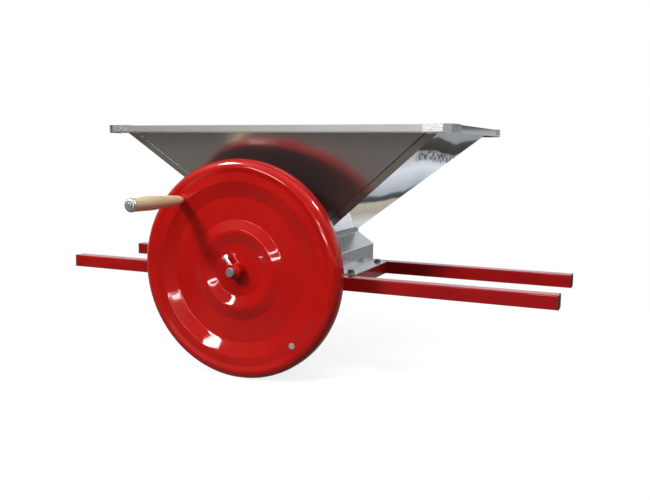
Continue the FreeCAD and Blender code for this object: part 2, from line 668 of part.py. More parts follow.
def flywheel_disc():
    corners = [Vector(radius, depth, 0) for radius, depth, bend in WHEEL_PROFILE]
    path = rounded_path(corners, [bend for radius, depth, bend in WHEEL_PROFILE[1:-1]])
    section = thickened(path, WHEEL_SHEET, Vector(0, 100, 0))
    disc = section.revolve(ORIGIN, Y_AXIS, 360)
    disc.translate(Vector(-AXIS_X, WHEEL_FACE_Y, AXIS_Z))
    tools = [rod(wheel_point(0, 0, 0), Y_AXIS, HUB_RADIUS, 30)]
    tools.append(rod(wheel_point(HANDLE_RADIUS, HANDLE_ANGLE, -10), Y_AXIS, HANDLE_BOLT_RADIUS + 0.1, 40))
    tools.append(rod(wheel_point(RIVET_RADIUS, RIVET_ANGLE, -10), Y_AXIS, 4.1, 40))
    return cut_all(disc, tools)


def set_bolt_direction():
    angle = math.radians(SET_BOLT_ANGLE)
    return Vector(math.cos(angle), 0, math.sin(angle))


def flywheel_hub():
    start = wheel_point(0, 0, HUB_FRONT)
    shape = rod(start, Y_AXIS, HUB_RADIUS, HUB_BACK - HUB_FRONT)
    shape = shape.makeFillet(2, [outer_circle(shape, start)])
    shape = shape.cut(rod(start - Y_AXIS, Y_AXIS, SHAFT_RADIUS, HUB_BACK - HUB_FRONT + 2))
    return shape.cut(rod(wheel_point(0, 0, SET_BOLT_Y), set_bolt_direction(), 4.05, 30))


def hub_set_bolt():
    direction = set_bolt_direction()
    centre = wheel_point(0, 0, SET_BOLT_Y)
    length = SET_BOLT_SEAT - SHAFT_RADIUS - 0.05
    return hex_bolt(centre + direction * SET_BOLT_SEAT, direction * -1, 4, length, 13, 5.3)


def balance_rivet():
    seat = wheel_point(RIVET_RADIUS, RIVET_ANGLE, WHEEL_BAND_DEPTH)
    head = rod(seat - Y_AXIS * 1.5, Y_AXIS, 6.5, 1.5)
    shank = rod(seat, Y_AXIS, 4, WHEEL_SHEET + 1)
    tail = rod(seat + Y_AXIS * WHEEL_SHEET, Y_AXIS, 6, 1.5)
    return head.fuse([shank, tail])


# ---- handle ----
# Each row: share of the grip's length from the disc, radius of the turned wood.
GRIP_PROFILE = (
    (0.0, 8.6),
    (0.06, 10.4),
    (0.25, 12.2),
    (0.45, 13.7),
    (0.62, 15.0),
    (0.78, 14.5),
    (0.9, 14.0),
    (1.0, 13.9),
)


def handle_point(along):
    return wheel_point(HANDLE_RADIUS, HANDLE_ANGLE, along)


def handle_grip():
    """Turned wooden grip that runs freely on the handle bolt."""
    curve = Part.BSplineCurve()
    curve.interpolate([Vector(radius, -share * GRIP_LENGTH, 0) for share, radius in GRIP_PROFILE])
    first = GRIP_PROFILE[0][1]
    last = GRIP_PROFILE[-1][1]
    bore = HANDLE_BOLT_RADIUS + 0.08
    bored = Part.makePolygon([Vector(first, 0, 0), Vector(bore, 0, 0), Vector(bore, -GRIP_LENGTH, 0),
                              Vector(last, -GRIP_LENGTH, 0)])
    outline = Part.Wire([curve.toShape()] + bored.Edges)
    shape = Part.Face(outline).revolve(ORIGIN, Y_AXIS, 360)
    shape.translate(handle_point(-GRIP_START))
    return shape


def handle_bolt():
    """Long bolt through the grip, with a small cross-slotted head outside the end cap."""
    front = -GRIP_START - GRIP_LENGTH - 0.6 - END_CAP_HEIGHT
    shank = rod(handle_point(front), Y_AXIS, HANDLE_BOLT_RADIUS, 20 - front)
    head = rod(handle_point(front - 3), Y_AXIS, 6.5, 3)
    head = head.makeFillet(1.6, [outer_circle(head, handle_point(front - 3))])
    tip = handle_point(front - 4)
    for size in ((4.5, 0.8), (0.8, 4.5)):
        slot = box(-size[0], size[0], 0, 2.2, -size[1], size[1])
        slot.translate(tip)
        head = head.cut(slot)
    return shank.fuse(head)


def handle_end_cap():
    base = handle_point(-GRIP_START - GRIP_LENGTH - 0.6)
    shape = rod(base - Y_AXIS * END_CAP_HEIGHT, Y_AXIS, END_CAP_RADIUS, END_CAP_HEIGHT)
    rim = outer_circle(shape, base - Y_AXIS * END_CAP_HEIGHT)
    shape = shape.makeFillet(5.5, [rim])
    return shape.cut(rod(base + Y_AXIS, Y_AXIS * -1, HANDLE_BOLT_RADIUS + 0.05, END_CAP_HEIGHT + 2))


def handle_nuts():
    """A thin nut in front and a full nut behind, which clamp the disc between them."""
    front = hex_nut(handle_point(WHEEL_BAND_DEPTH), Y_AXIS * -1, HANDLE_BOLT_RADIUS + 0.02, 13, 4)
    back = hex_nut(handle_point(WHEEL_BAND_DEPTH + WHEEL_SHEET), Y_AXIS, HANDLE_BOLT_RADIUS + 0.02, 13, 6.5)
    return [front, back]


# ---- the whole object ----
def frame_nodes():
    return {
        "front_rail": rail(False),
        "rear_rail": rail(True),
        "left_cross_member": cross_member(True),
        "right_cross_member": cross_member(False),
        "rail_end_caps": rail_end_caps(),
    }


def housing_nodes():
    return {
        "front_housing_plate": housing_plate(False),
        "rear_housing_plate": housing_plate(True),
        "left_housing_side": housing_side(True),
        "right_housing_side": housing_side(False),
        "housing_bolts": housing_bolts(),
        "housing_washers": housing_washers(),
        "housing_nuts": housing_nuts(),
        "housing_rivets": housing_rivets(),
    }


def hopper_nodes():
    nodes = {
        "hopper_front_panel": hopper_front(False),
        "hopper_rear_panel": hopper_front(True),
        "hopper_left_panel": hopper_side(True),
        "hopper_right_panel": hopper_side(False),
        "rim_cap_screws": rim_cap_screws(),
        "throat_screws": throat_screws(),
        "throat_nuts": throat_nuts(),
    }
    for left in (True, False):
        for front in (True, False):
            name = "rim_cap_" + ("front_" if front else "rear_") + ("left" if left else "right")
            nodes[name] = rim_cap(left, front)
    return nodes


def bearing_nodes():
    nodes = {
        "bearing_bolts": bearing_bolts(),
        "bearing_nuts": bearing_nuts(),
        "gear_cover": gear_cover(),
        "gear_cover_screws": gear_cover_screws(),
    }
    for side_x, axis_name in ((-1, "drive"), (1, "idler")):
        for side_y, end_name in ((-1, "front"), (1, "rear")):
            nodes[end_name + "_" + axis_name + "_block"] = bearing_block(side_x, side_y)
            nodes[end_name + "_" + axis_name + "_bush"] = bearing_bush(side_x, side_y)
    return nodes


def roller_nodes():
    nodes = {
        "drive_shaft": shaft(-AXIS_X, WHEEL_FACE_Y + SHAFT_FRONT, REAR_SHAFT_END),
        "idler_shaft": shaft(AXIS_X, IDLER_FRONT_END, REAR_SHAFT_END),
        "drive_roller": roller(-AXIS_X, 90),
        "idler_roller": roller(AXIS_X, 90),
        "drive_gear": gear(-AXIS_X, 0),
        "idler_gear": gear(AXIS_X, 180 / GEAR_TEETH),
    }
    for x, name in ((-AXIS_X, "drive"), (AXIS_X, "idler")):
        nodes[name + "_roller_pin"] = roller_pin(x)
        nodes[name + "_gear_screw"] = gear_screw(x)
        nodes[name + "_collar"] = shaft_collar(x)
        nodes[name + "_collar_screw"] = collar_screw(x)
    return nodes


def flywheel_nodes():
    return {
        "flywheel_disc": flywheel_disc(),
        "flywheel_hub": flywheel_hub(),
        "hub_set_bolt": hub_set_bolt(),
        "balance_rivet": balance_rivet(),
        "handle_bolt": handle_bolt(),
        "handle_nuts": handle_nuts(),
        "handle_end_cap": handle_end_cap(),
        "handle_grip": handle_grip(),
    }


def save(name, shape):
    """Write one node; a list becomes a group of separate solids."""
    if isinstance(shape, list):
        shape = Part.makeCompound(shape)
    shape.exportStep("parts/" + name + ".step")


def main():
    os.makedirs("parts", exist_ok=True)
    for group in (frame_nodes, housing_nodes, hopper_nodes, bearing_nodes, roller_nodes, flywheel_nodes):
        for name, shape in group().items():
            save(name, shape)


main()
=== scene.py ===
import json
import math

import bmesh
import bpy
from mathutils import Matrix, Vector

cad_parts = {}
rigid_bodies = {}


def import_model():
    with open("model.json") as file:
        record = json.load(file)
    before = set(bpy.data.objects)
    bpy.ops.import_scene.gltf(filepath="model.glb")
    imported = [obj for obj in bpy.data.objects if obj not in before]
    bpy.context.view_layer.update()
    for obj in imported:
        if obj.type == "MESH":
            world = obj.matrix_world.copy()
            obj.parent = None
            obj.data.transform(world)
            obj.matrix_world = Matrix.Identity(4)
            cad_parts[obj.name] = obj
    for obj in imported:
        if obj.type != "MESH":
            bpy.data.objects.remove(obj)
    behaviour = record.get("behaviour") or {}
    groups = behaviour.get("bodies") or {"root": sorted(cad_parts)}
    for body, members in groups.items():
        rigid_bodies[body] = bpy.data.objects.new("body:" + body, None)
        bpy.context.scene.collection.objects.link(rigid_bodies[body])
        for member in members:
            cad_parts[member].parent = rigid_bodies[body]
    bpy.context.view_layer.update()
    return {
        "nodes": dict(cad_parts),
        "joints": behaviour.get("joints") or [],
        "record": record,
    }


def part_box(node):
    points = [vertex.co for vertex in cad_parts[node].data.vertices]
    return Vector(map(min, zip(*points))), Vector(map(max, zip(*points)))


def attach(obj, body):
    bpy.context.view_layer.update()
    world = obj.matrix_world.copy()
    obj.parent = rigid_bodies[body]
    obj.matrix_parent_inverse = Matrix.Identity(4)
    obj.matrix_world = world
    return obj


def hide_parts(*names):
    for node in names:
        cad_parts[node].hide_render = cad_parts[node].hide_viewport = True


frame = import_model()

# Looks of a hand-cranked fruit crusher, built around its CAD frame. All lengths are in metres.

NODES = frame["nodes"]
MM = 0.001


def anchor_of(joint_name):
    """A joint's point in the frame."""
    joint = next(item for item in frame["joints"] if item["name"] == joint_name)
    return Vector(joint["pos_m"])


WHEEL_LOW, WHEEL_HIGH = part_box("flywheel_disc")
WHEEL_AXIS = anchor_of("flywheel_spin")
WHEEL_FACE = Vector((WHEEL_AXIS.x, WHEEL_LOW.y, WHEEL_AXIS.z))
GRIP_AXIS = anchor_of("grip_spin")
GRIP_LOW, GRIP_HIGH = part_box("handle_grip")
FLOOR_Z = WHEEL_LOW.z
LIP_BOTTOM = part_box("rim_cap_front_left")[0].z

# An end panel leans outwards, from the throat up to the rim. The free edge of its seam flanges runs
# alongside it, nearer to the middle by the lap. The first five numbers are in millimetres.
THROAT_X, THROAT_Z = 79.3, 110.0
RIM_X, RIM_Z = 388.0, 358.0
LAP = 24.0
LAP_SLOPE = (RIM_X - THROAT_X) / (RIM_Z - THROAT_Z)
LAP_START = (THROAT_X - LAP - THROAT_Z * LAP_SLOPE) * MM
# LAP_STRIP is the width of the strip along that free edge that takes the edge tone: a painted highlight on
# the left end panel and a painted shadow line on the right.
LAP_STRIP = 2.8 * MM


# ---------------------------------------------------------------- shader helpers
class Shader:
    """One node tree of a material or a world, with short calls for the nodes that come back often."""

    def __init__(self, owner, coordinates="Object"):
        owner.use_nodes = True
        self.owner = owner
        self.tree = owner.node_tree
        self.surface = self.tree.nodes.get("Principled BSDF") or self.tree.nodes["Background"]
        self.output = self.tree.nodes.get("Material Output") or self.tree.nodes["World Output"]
        self.place = self.add("ShaderNodeTexCoord").outputs[coordinates]

    def add(self, kind, settings=None, **inputs):
        node = self.tree.nodes.new(kind)
        for key, value in (settings or {}).items():
            setattr(node, key, value)
        for key, value in inputs.items():
            self.put(node, key.replace("_", " "), value)
        return node

    def put(self, node, key, value):
        socket = node.inputs[int(key)] if key.isdigit() else node.inputs[key]
        if isinstance(value, bpy.types.NodeSocket):
            self.tree.links.new(value, socket)
        else:
            socket.default_value = value

    def set(self, **inputs):
        """Inputs of the Principled surface."""
        for key, value in inputs.items():
            self.put(self.surface, key.replace("_", " "), value)

    def stretched(self, scale):
        """Object coordinates, scaled by a different amount along each axis."""
        node = self.add("ShaderNodeMapping", Vector=self.place, Scale=scale)
        return node.outputs["Vector"]

    def noise(self, scale, detail=3.0, vector=None, roughness=0.5, distortion=0.0):
        node = self.add("ShaderNodeTexNoise", Vector=vector or self.place, Scale=scale, Detail=detail,
                        Roughness=roughness, Distortion=distortion)
        return node.outputs["Fac"]

    def ramp(self, factor, *stops):
        """Values or colours at places along a factor from 0 to 1."""
        node = self.add("ShaderNodeValToRGB", Fac=factor)
        band = node.color_ramp
        while len(band.elements) < len(stops):
            band.elements.new(0.5)
        for element, (place, tone) in zip(band.elements, stops):
            element.position = place
            element.color = (*tone, 1) if isinstance(tone, tuple) else (tone, tone, tone, 1)
        return node.outputs["Color"]

    def bands(self, value, *stops):
        """Like ramp, but the places are in the value's own units, and the ends carry on outwards."""
        start, end = stops[0][0], stops[-1][0]
        fraction = self.maths("DIVIDE", self.maths("SUBTRACT", value, start), end - start)
        return self.ramp(fraction, *(((place - start) / (end - start), tone) for place, tone in stops))

    def blend(self, kind, factor, first, second):
        node = self.add("ShaderNodeMix", {"data_type": "RGBA", "blend_type": kind})
        self.put(node, "0", factor)
        self.put(node, "6", first)
        self.put(node, "7", second)
        return node.outputs[2]

    def mix(self, factor, first, second):
        return self.blend("MIX", factor, first, second)

    def multiplied(self, first, second, factor=1.0):
        return self.blend("MULTIPLY", factor, first, second)

    def span(self, factor, low, high):
        """A factor from 0 to 1 turned into a value from low to high."""
        node = self.add("ShaderNodeMapRange", Value=factor, To_Min=low, To_Max=high)
        return node.outputs["Result"]

    def maths(self, operation, first, second=0.0):
        node = self.add("ShaderNodeMath", {"operation": operation})
        self.put(node, "0", first)
        self.put(node, "1", second)
        return node.outputs[0]

    def times(self, first, second):
        return self.maths("MULTIPLY", first, second)

    def plus(self, first, second):
        return self.maths("ADD", first, second)

    def parts(self, vector):
        """The X, Y and Z of a vector, by name."""
        return self.add("ShaderNodeSeparateXYZ", Vector=vector).outputs

    def facing(self):
        """The X, Y and Z of the direction that the surface faces."""
        return self.parts(self.add("ShaderNodeNewGeometry").outputs["Normal"])

    def rounded_normal(self, radius, samples):
        """The direction that the surface would face if its edges were rounded."""
        return self.add("ShaderNodeBevel", {"samples": samples}, Radius=radius).outputs["Normal"]

    def bump(self, height, distance, strength=1.0, normal=None):
        node = self.add("ShaderNodeBump", Height=height, Distance=distance, Strength=strength)
        if normal:
            self.put(node, "Normal", normal)
        return node.outputs["Normal"]

    def edges(self, radius, sharpness=6.0):
        """A mask that is 1 along sharp edges and 0 on open surfaces."""
        soft = self.rounded_normal(radius, 4)
        plain = self.add("ShaderNodeNewGeometry").outputs["Normal"]
        dot = self.add("ShaderNodeVectorMath", {"operation": "DOT_PRODUCT"})
        self.put(dot, "0", soft)
        self.put(dot, "1", plain)
        away = self.maths("SUBTRACT", 1.0, dot.outputs["Value"])
        scaled = self.add("ShaderNodeMath", {"operation": "MULTIPLY", "use_clamp": True})
        self.put(scaled, "0", away)
        self.put(scaled, "1", sharpness)
        return scaled.outputs[0]

    def crevice_shade_mask(self, reach):
        """A mask of painted shade for corners and joints, from ambient occlusion: 1 deep in corners and
        joints and 0 in the open.
        """
        shade = self.add("ShaderNodeAmbientOcclusion", {"samples": 6}, Distance=reach)
        return self.ramp(shade.outputs["AO"], (0.25, 1.0), (0.85, 0.0))


def new_shader(name):
    return Shader(bpy.data.materials.new(name))


def colour(red, green, blue):
    return (red, green, blue, 1.0)


# ---------------------------------------------------------------- materials
# Bright edge tone: worn metal, and also a painted highlight standing in for the glint along folds and seams.
WORN_EDGE_HIGHLIGHT = colour(0.92, 0.93, 0.95)
# Dark painted shadow line: the shade under the lip's hem and along the right end panel's seam edges.
PAINTED_SHADE_LINE = colour(0.10, 0.09, 0.085)
LAP_TINT = colour(0.50, 0.47, 0.43)
# Painted shade for corners and joints.
CREVICE_SHADE = colour(0.09, 0.08, 0.075)


def gloss_paint(name, deep, bright, edge_colour, back=None):
    """Thick glossy enamel: cloudy colour, orange-peel skin, thin and a little worn along the edges.

    Faces that look towards +Y can take a darker, duller back colour instead: painted shade for the back of
    the wheel, which lies in shadow facing the hopper.
    """
    shader = new_shader(name)
    cloud = shader.noise(9.0, 4.0)
    base = shader.mix(shader.ramp(cloud, (0.35, 0.0), (0.65, 1.0)), deep, bright)
    patches = shader.ramp(shader.noise(60.0), (0.42, 0.0), (0.6, 1.0))
    worn = shader.times(shader.edges(1.2 * MM, 12.0), patches)
    base = shader.mix(shader.times(worn, 0.6), base, edge_colour)
    coat = 1.0
    if back:
        # Painted shade: faces towards +Y take the darker back colour and lose most of the coat.
        behind = shader.ramp(shader.facing()["Y"], (0.1, 0.0), (0.5, 1.0))
        base = shader.mix(behind, base, back)
        coat = shader.span(behind, 1.0, 0.15)
    peel = shader.noise(420.0, 1.0)
    wave = shader.noise(30.0, 1.0)
    normal = shader.bump(wave, 0.5 * MM, 0.16)
    normal = shader.bump(peel, 0.02 * MM, 0.3, normal)
    smudge = shader.noise(26.0, 5.0, roughness=0.65)
    shader.set(Base_Color=base, Roughness=shader.span(smudge, 0.3, 0.5), Normal=normal,
               Specular_IOR_Level=0.08, Coat_Weight=coat, Coat_IOR=1.42, Coat_Normal=normal,
               Coat_Roughness=shader.span(smudge, 0.01, 0.055))
    return shader.owner


def lap_edge_light_mask(shader, place):
    """A mask over the strip along the free edge of an end panel's seam flanges, where the left panel gets a
    painted highlight and the right panel a painted shadow line.
    """
    leaning = shader.times(place["Z"], LAP_SLOPE)
    outwards = shader.maths("SUBTRACT", shader.maths("ABSOLUTE", place["X"]), leaning)
    edge = LAP_START + LAP_STRIP
    return shader.bands(outwards, (edge, 1.0), (edge + 0.6 * MM, 0.0))


def hem_shadow_mask(shader, place):
    """A mask over the folded hem along the bottom of the upright lip, where a painted shadow line goes."""
    return shader.bands(place["Z"], (LIP_BOTTOM + 2.2 * MM, 1.0), (LIP_BOTTOM + 3.4 * MM, 0.0))


def sheet_steel(name, tint, grain, roughness, wavy, haze, lip_haze=None, lap_roughness=None, edge_light_tone=WORN_EDGE_HIGHLIGHT,
                fold_radius=None):
    """Rolled or polished sheet metal, with fine lines along one axis and a slight waviness.

    Folds and cut edges take an edge tone: bright wear that is also a painted highlight for their glint, and
    on the right end panel a dark painted shadow line. Corners and joints get painted shade, and the hem
    under the upright lip a painted shadow line. Haze is the share of light that the finish scatters, and
    the upright lip can scatter more. The laps and the inside of an end panel can be duller than its
    mirror-like face.
    """
    shader = new_shader(name)
    lines = shader.noise(1.0, 4.0, shader.stretched(grain), 0.6)
    broad = shader.noise(7.0, 3.0)
    waves = shader.noise(5.5, 1.5)
    prints = shader.noise(30.0, 5.0, roughness=0.7)
    facing = shader.facing()
    sideways = shader.maths("ABSOLUTE", facing["Y"])
    place = shader.parts(shader.place)
    rough = shader.span(broad, *roughness)
    scatter = haze
    streaky = tuple(c * 0.94 for c in tint[:3]) + (1.0,)
    shade = shader.mix(shader.ramp(lines, (0.3, 0.0), (0.7, 1.0)), tint, streaky)
    # Sharp folds and cut edges take the edge tone: wear and a painted highlight on most sheets, a painted
    # shadow line on the right end panel.
    rubbed = shader.edges(1.6 * MM, 16.0)
    if lap_roughness:
        on_lap = shader.ramp(sideways, (0.6, 0.0), (0.7, 1.0))
        inside = shader.bands(facing["Z"], (0.2, 0.0), (0.4, 1.0))
        rough = shader.plus(rough, shader.times(on_lap, lap_roughness))
        rough = shader.plus(rough, shader.times(inside, lap_roughness))
        shade = shader.mix(on_lap, shade, LAP_TINT)
        scatter = shader.span(on_lap, haze, 0.14)
        # The lap's free edge joins them: a painted highlight on the left end panel and a painted shadow line
        # on the right.
        rubbed = shader.maths("MAXIMUM", rubbed, shader.times(lap_edge_light_mask(shader, place), on_lap))
    if lip_haze:
        on_lip = shader.ramp(sideways, (0.95, 0.0), (0.985, 1.0))
        # Painted shadow line along the hem at the foot of the lip: dark, and with less scatter.
        hem = hem_shadow_mask(shader, place)
        rough = shader.plus(rough, shader.times(on_lip, 0.2))
        shade = shader.mix(shader.times(hem, on_lip), shade, PAINTED_SHADE_LINE)
        scatter = shader.plus(scatter, shader.times(on_lip, lip_haze))
        scatter = shader.times(scatter, shader.span(hem, 1.0, 0.3))
    rough = shader.times(rough, shader.span(prints, 0.8, 1.25))
    rough = shader.plus(rough, shader.times(rubbed, 0.2))
    # Painted shade in corners and joints, from ambient occlusion.
    shade = shader.mix(shader.times(shader.crevice_shade_mask(5 * MM), 0.8), shade, CREVICE_SHADE)
    # Edges take the edge tone and scatter more: a painted highlight, and on the right end panel a painted
    # shadow line.
    shade = shader.mix(rubbed, shade, edge_light_tone)
    scatter = shader.plus(scatter, shader.times(rubbed, 0.4))
    folds = shader.rounded_normal(fold_radius, 6) if fold_radius else None
    normal = shader.bump(waves, wavy, 0.5, folds)
    normal = shader.bump(lines, 0.012 * MM, 0.2, normal)
    shader.set(Base_Color=shade, Metallic=shader.maths("SUBTRACT", 1.0, scatter), Roughness=rough,
               Specular_IOR_Level=0.3, Normal=normal)
    return shader.owner


def machined_metal(name, tint, roughness, dirt, turned=0.0):
    """Bright fastener or turned steel, with dull grime in patches and rubbed edges."""
    shader = new_shader(name)
    patches = shader.noise(120.0, 5.0, roughness=0.7)
    grime = shader.ramp(patches, (0.42, 0.0), (0.72, 1.0))
    base = shader.mix(shader.times(grime, dirt), tint, colour(0.10, 0.09, 0.08))
    base = shader.mix(shader.times(shader.edges(0.6 * MM), 0.5), base, colour(0.85, 0.85, 0.84))
    rough = shader.span(patches, roughness, roughness + 0.25)
    normal = shader.bump(shader.noise(900.0, 2.0), 0.02 * MM, 0.3)
    if turned:
        rings = shader.noise(1.0, 2.0, shader.stretched((20.0, turned, 20.0)))
        normal = shader.bump(rings, 0.03 * MM, 0.5, normal)
    shader.set(Base_Color=base, Metallic=1.0, Roughness=rough, Normal=normal)
    return shader.owner


def casting(name, tint, roughness, grain_mm, metallic):
    """Sand-cast or die-cast metal with a grainy skin and brighter rubbed edges."""
    shader = new_shader(name)
    grains = shader.noise(1.0 / (grain_mm * MM), 4.0, roughness=0.65)
    cloud = shader.noise(22.0, 4.0)
    darker = tuple(c * 0.6 for c in tint[:3]) + (1.0,)
    lighter = tuple(min(1.0, c * 1.7) for c in tint[:3]) + (1.0,)
    base = shader.mix(shader.ramp(cloud, (0.3, 0.0), (0.7, 1.0)), darker, tint)
    base = shader.mix(shader.times(shader.edges(1.2 * MM), 0.7), base, lighter)
    shader.set(Base_Color=base, Metallic=metallic, Roughness=shader.span(grains, roughness, roughness + 0.2),
               Normal=shader.bump(grains, 0.25 * MM, 0.5))
    return shader.owner


def moulded_plastic(name, tint):
    """Satin moulded plastic with a fine grain, greyer along knocked edges."""
    shader = new_shader(name)
    grains = shader.noise(1400.0, 3.0)
    scuffs = shader.ramp(shader.noise(150.0, 6.0, roughness=0.75), (0.55, 0.0), (0.7, 1.0))
    worn = shader.times(scuffs, shader.edges(1.5 * MM, 4.0))
    base = shader.mix(shader.times(worn, 0.6), tint, colour(0.22, 0.22, 0.22))
    shader.set(Base_Color=base, Roughness=shader.span(grains, 0.38, 0.55),
               Normal=shader.bump(grains, 0.03 * MM, 0.5))
    return shader.owner


def turned_wood(name):
    """Pale oiled beech: long grain, short dark flecks and the fine rings left by turning."""
    shader = new_shader(name)
    grain = shader.noise(1.0, 5.0, shader.stretched((190.0, 9.0, 190.0)), 0.6, 0.6)
    flecks = shader.noise(1.0, 2.0, shader.stretched((900.0, 70.0, 900.0)), 0.5)
    broad = shader.noise(1.0, 2.0, shader.stretched((45.0, 5.0, 45.0)))
    base = shader.ramp(grain, (0.28, (0.68, 0.49, 0.24)), (0.5, (0.88, 0.71, 0.40)),
                       (0.72, (0.94, 0.83, 0.54)))
    base = shader.mix(shader.span(broad, 0.0, 0.45), base, colour(0.95, 0.86, 0.60))
    base = shader.mix(shader.ramp(flecks, (0.60, 0.0), (0.68, 0.5)), base, colour(0.42, 0.22, 0.09))
    rings = shader.noise(1.0, 1.0, shader.stretched((4.0, 1300.0, 4.0)))
    normal = shader.bump(rings, 0.05 * MM, 0.35)
    normal = shader.bump(grain, 0.10 * MM, 0.35, normal)
    shader.set(Base_Color=base, Roughness=shader.span(grain, 0.34, 0.48), Normal=normal, Coat_Weight=0.25,
               Coat_Roughness=0.22)
    return shader.owner


def painted_materials():
    return {
        "red_frame_paint": gloss_paint("frame_paint", colour(0.40, 0.005, 0.006), colour(0.50, 0.007, 0.008),
                                       colour(0.80, 0.36, 0.33)),
        # The back colour is painted shade on the wheel's back, which lies in shadow facing the hopper.
        "red_wheel_paint": gloss_paint("wheel_paint", colour(0.53, 0.004, 0.002), colour(0.61, 0.006, 0.003),
                                       colour(0.70, 0.10, 0.07), back=colour(0.34, 0.050, 0.045)),
    }


def sheet_materials():
    end_tint = colour(0.74, 0.74, 0.73)
    end_grain = (6.0, 6.0, 900.0)
    end_roughness = (0.014, 0.03)
    return {
        "galvanised_sheet": sheet_steel("housing_sheet", colour(0.74, 0.75, 0.78), (8.0, 8.0, 700.0),
                                        (0.22, 0.28), 0.4 * MM, 0.28, fold_radius=1.8 * MM),
        "stainless_sheet": sheet_steel("hopper_sheet", colour(0.60, 0.58, 0.56), (6.0, 6.0, 900.0),
                                       (0.20, 0.26), 0.5 * MM, 0.22, lip_haze=0.14),
        "left_end_sheet": sheet_steel("hopper_left_sheet", end_tint, end_grain, end_roughness, 0.35 * MM,
                                      0.0, lap_roughness=0.17),
        # The right end panel's edges and lap edge are a painted shadow line.
        "right_end_sheet": sheet_steel("hopper_right_sheet", end_tint, end_grain, end_roughness, 0.35 * MM,
                                       0.0, lap_roughness=0.17, edge_light_tone=PAINTED_SHADE_LINE),
        "cap_steel": sheet_steel("corner_cap_steel", colour(0.63, 0.62, 0.62), (10.0, 10.0, 600.0),
                                 (0.12, 0.18), 0.3 * MM, 0.06, lip_haze=0.12),
    }


def other_materials():
    return {
        "black_plastic": moulded_plastic("cap_plastic", colour(0.018, 0.018, 0.020)),
        "dark_fastener": machined_metal("dark_bolts", colour(0.26, 0.27, 0.26), 0.32, 0.6),
        "zinc_fastener": machined_metal("zinc_bolts", colour(0.80, 0.80, 0.79), 0.24, 0.30),
        "grey_casting": casting("cast_iron_grey", colour(0.20, 0.21, 0.22), 0.45, 1.3, 0.6),
        "bronze": machined_metal("bronze_bush", colour(0.62, 0.40, 0.18), 0.25, 0.35, 900.0),
        "bright_steel": machined_metal("turned_steel", colour(0.62, 0.62, 0.61), 0.20, 0.25, 1200.0),
        "cast_aluminium": casting("roller_aluminium", colour(0.62, 0.63, 0.64), 0.28, 0.9, 1.0),
        "beech": turned_wood("beech_wood"),
    }


MATERIALS = painted_materials() | sheet_materials() | other_materials()
SLOTS = {part["node"]: part["material_slot"] for part in frame["record"]["subparts"]}
END_SHEETS = {"hopper_left_panel": "left_end_sheet", "hopper_right_panel": "right_end_sheet"}

# Edge rounding in millimetres. The first key found in a node's name counts.
ROUNDING = {"housing_side": 0.35, "rim_cap": 0.35, "hopper": 0.3, "housing_plate": 0.3, "gear_cover": 0.4,
            "bolts": 0.35, "block": 0.7, "hub_set_bolt": 0.4, "nuts": 0.35, "rivet": 0.4, "collar": 0.5,
            "roller": 0.8, "gear": 0.5, "hub": 0.5}


def dress_frame():
    """Gives every CAD node its material, and a small rounding to the edges that catch the light."""
    for name, node in NODES.items():
        node.data.materials.clear()
        node.data.materials.append(MATERIALS[END_SHEETS.get(name) or SLOTS[name]])
        size = next((value for key, value in ROUNDING.items() if key in name), None)
        if size and not name.endswith("screws"):
            bevel = node.modifiers.new("rounded_edges", "BEVEL")
            bevel.width = size * MM
            bevel.segments = 2
            bevel.limit_method = "ANGLE"
            bevel.angle_limit = math.radians(40)
            bevel.harden_normals = True


# ---------------------------------------------------------------- mesh helpers
def new_piece(name, mesh, slot, body):
    piece = bpy.data.objects.new(name, mesh)
    bpy.context.scene.collection.objects.link(piece)
    mesh.materials.append(MATERIALS[slot])
    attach(piece, body)
    return piece


def rounded_corners(corners, steps=7):
    """Points along a path whose corners are arcs. Each corner is (radius, depth, bend radius)."""
    path = [Vector(corners[0][:2])]
    for before, corner, after in zip(corners, corners[1:], corners[2:]):
        point = Vector(corner[:2])
        back = (Vector(before[:2]) - point).normalized()
        ahead = (Vector(after[:2]) - point).normalized()
        half_angle = back.angle(ahead) / 2
        bisector = (back + ahead).normalized()
        centre = point + bisector * (corner[2] / math.sin(half_angle))
        reach = corner[2] / math.tan(half_angle)
        first = point + back * reach - centre
        last = point + ahead * reach - centre
        turn = first.angle_signed(last)
        for step in range(steps + 1):
            path.append(centre + Matrix.Rotation(-turn * step / steps, 2) @ first)
    path.append(Vector(corners[-1][:2]))
    return path


def subdivided(path, longest):
    """The same path with long straight runs broken up."""
    points = [path[0]]
    for start, end in zip(path, path[1:]):
        count = max(1, math.ceil((end - start).length / longest))
        points += [start.lerp(end, (step + 1) / count) for step in range(count)]
    return points


def offset_path(path, distance):
    """The path moved sideways by a distance, towards growing depth for a path that runs inwards."""
    moved = []
    for index, point in enumerate(path):
        before = path[max(index - 1, 0)]
        after = path[min(index + 1, len(path) - 1)]
        along = (after - before).normalized()
        moved.append(point + Vector((-along.y, along.x)) * -distance)
    return moved


def lathe(name, section, centre, segments):
    """Closed section of (radius, depth) points turned about the Y axis through centre."""
    mesh = bmesh.new()
    rings = []
    for segment in range(segments):
        angle = 2 * math.pi * segment / segments
        ring = []
        for radius, depth in section:
            place = Vector((radius * math.cos(angle), depth, radius * math.sin(angle)))
            ring.append(mesh.verts.new(centre + place))
        rings.append(ring)
    count = len(section)
    for ring, following in zip(rings, rings[1:] + rings[:1]):
        for index in range(count):
            after = (index + 1) % count
            mesh.faces.new((ring[index], ring[after], following[after], following[index]))
    bmesh.ops.recalc_face_normals(mesh, faces=mesh.faces)
    data = bpy.data.meshes.new(name)
    mesh.to_mesh(data)
    mesh.free()
    data.polygons.foreach_set("use_smooth", [True] * len(data.polygons))
    data.set_sharp_from_angle(angle=math.radians(35))
    return data


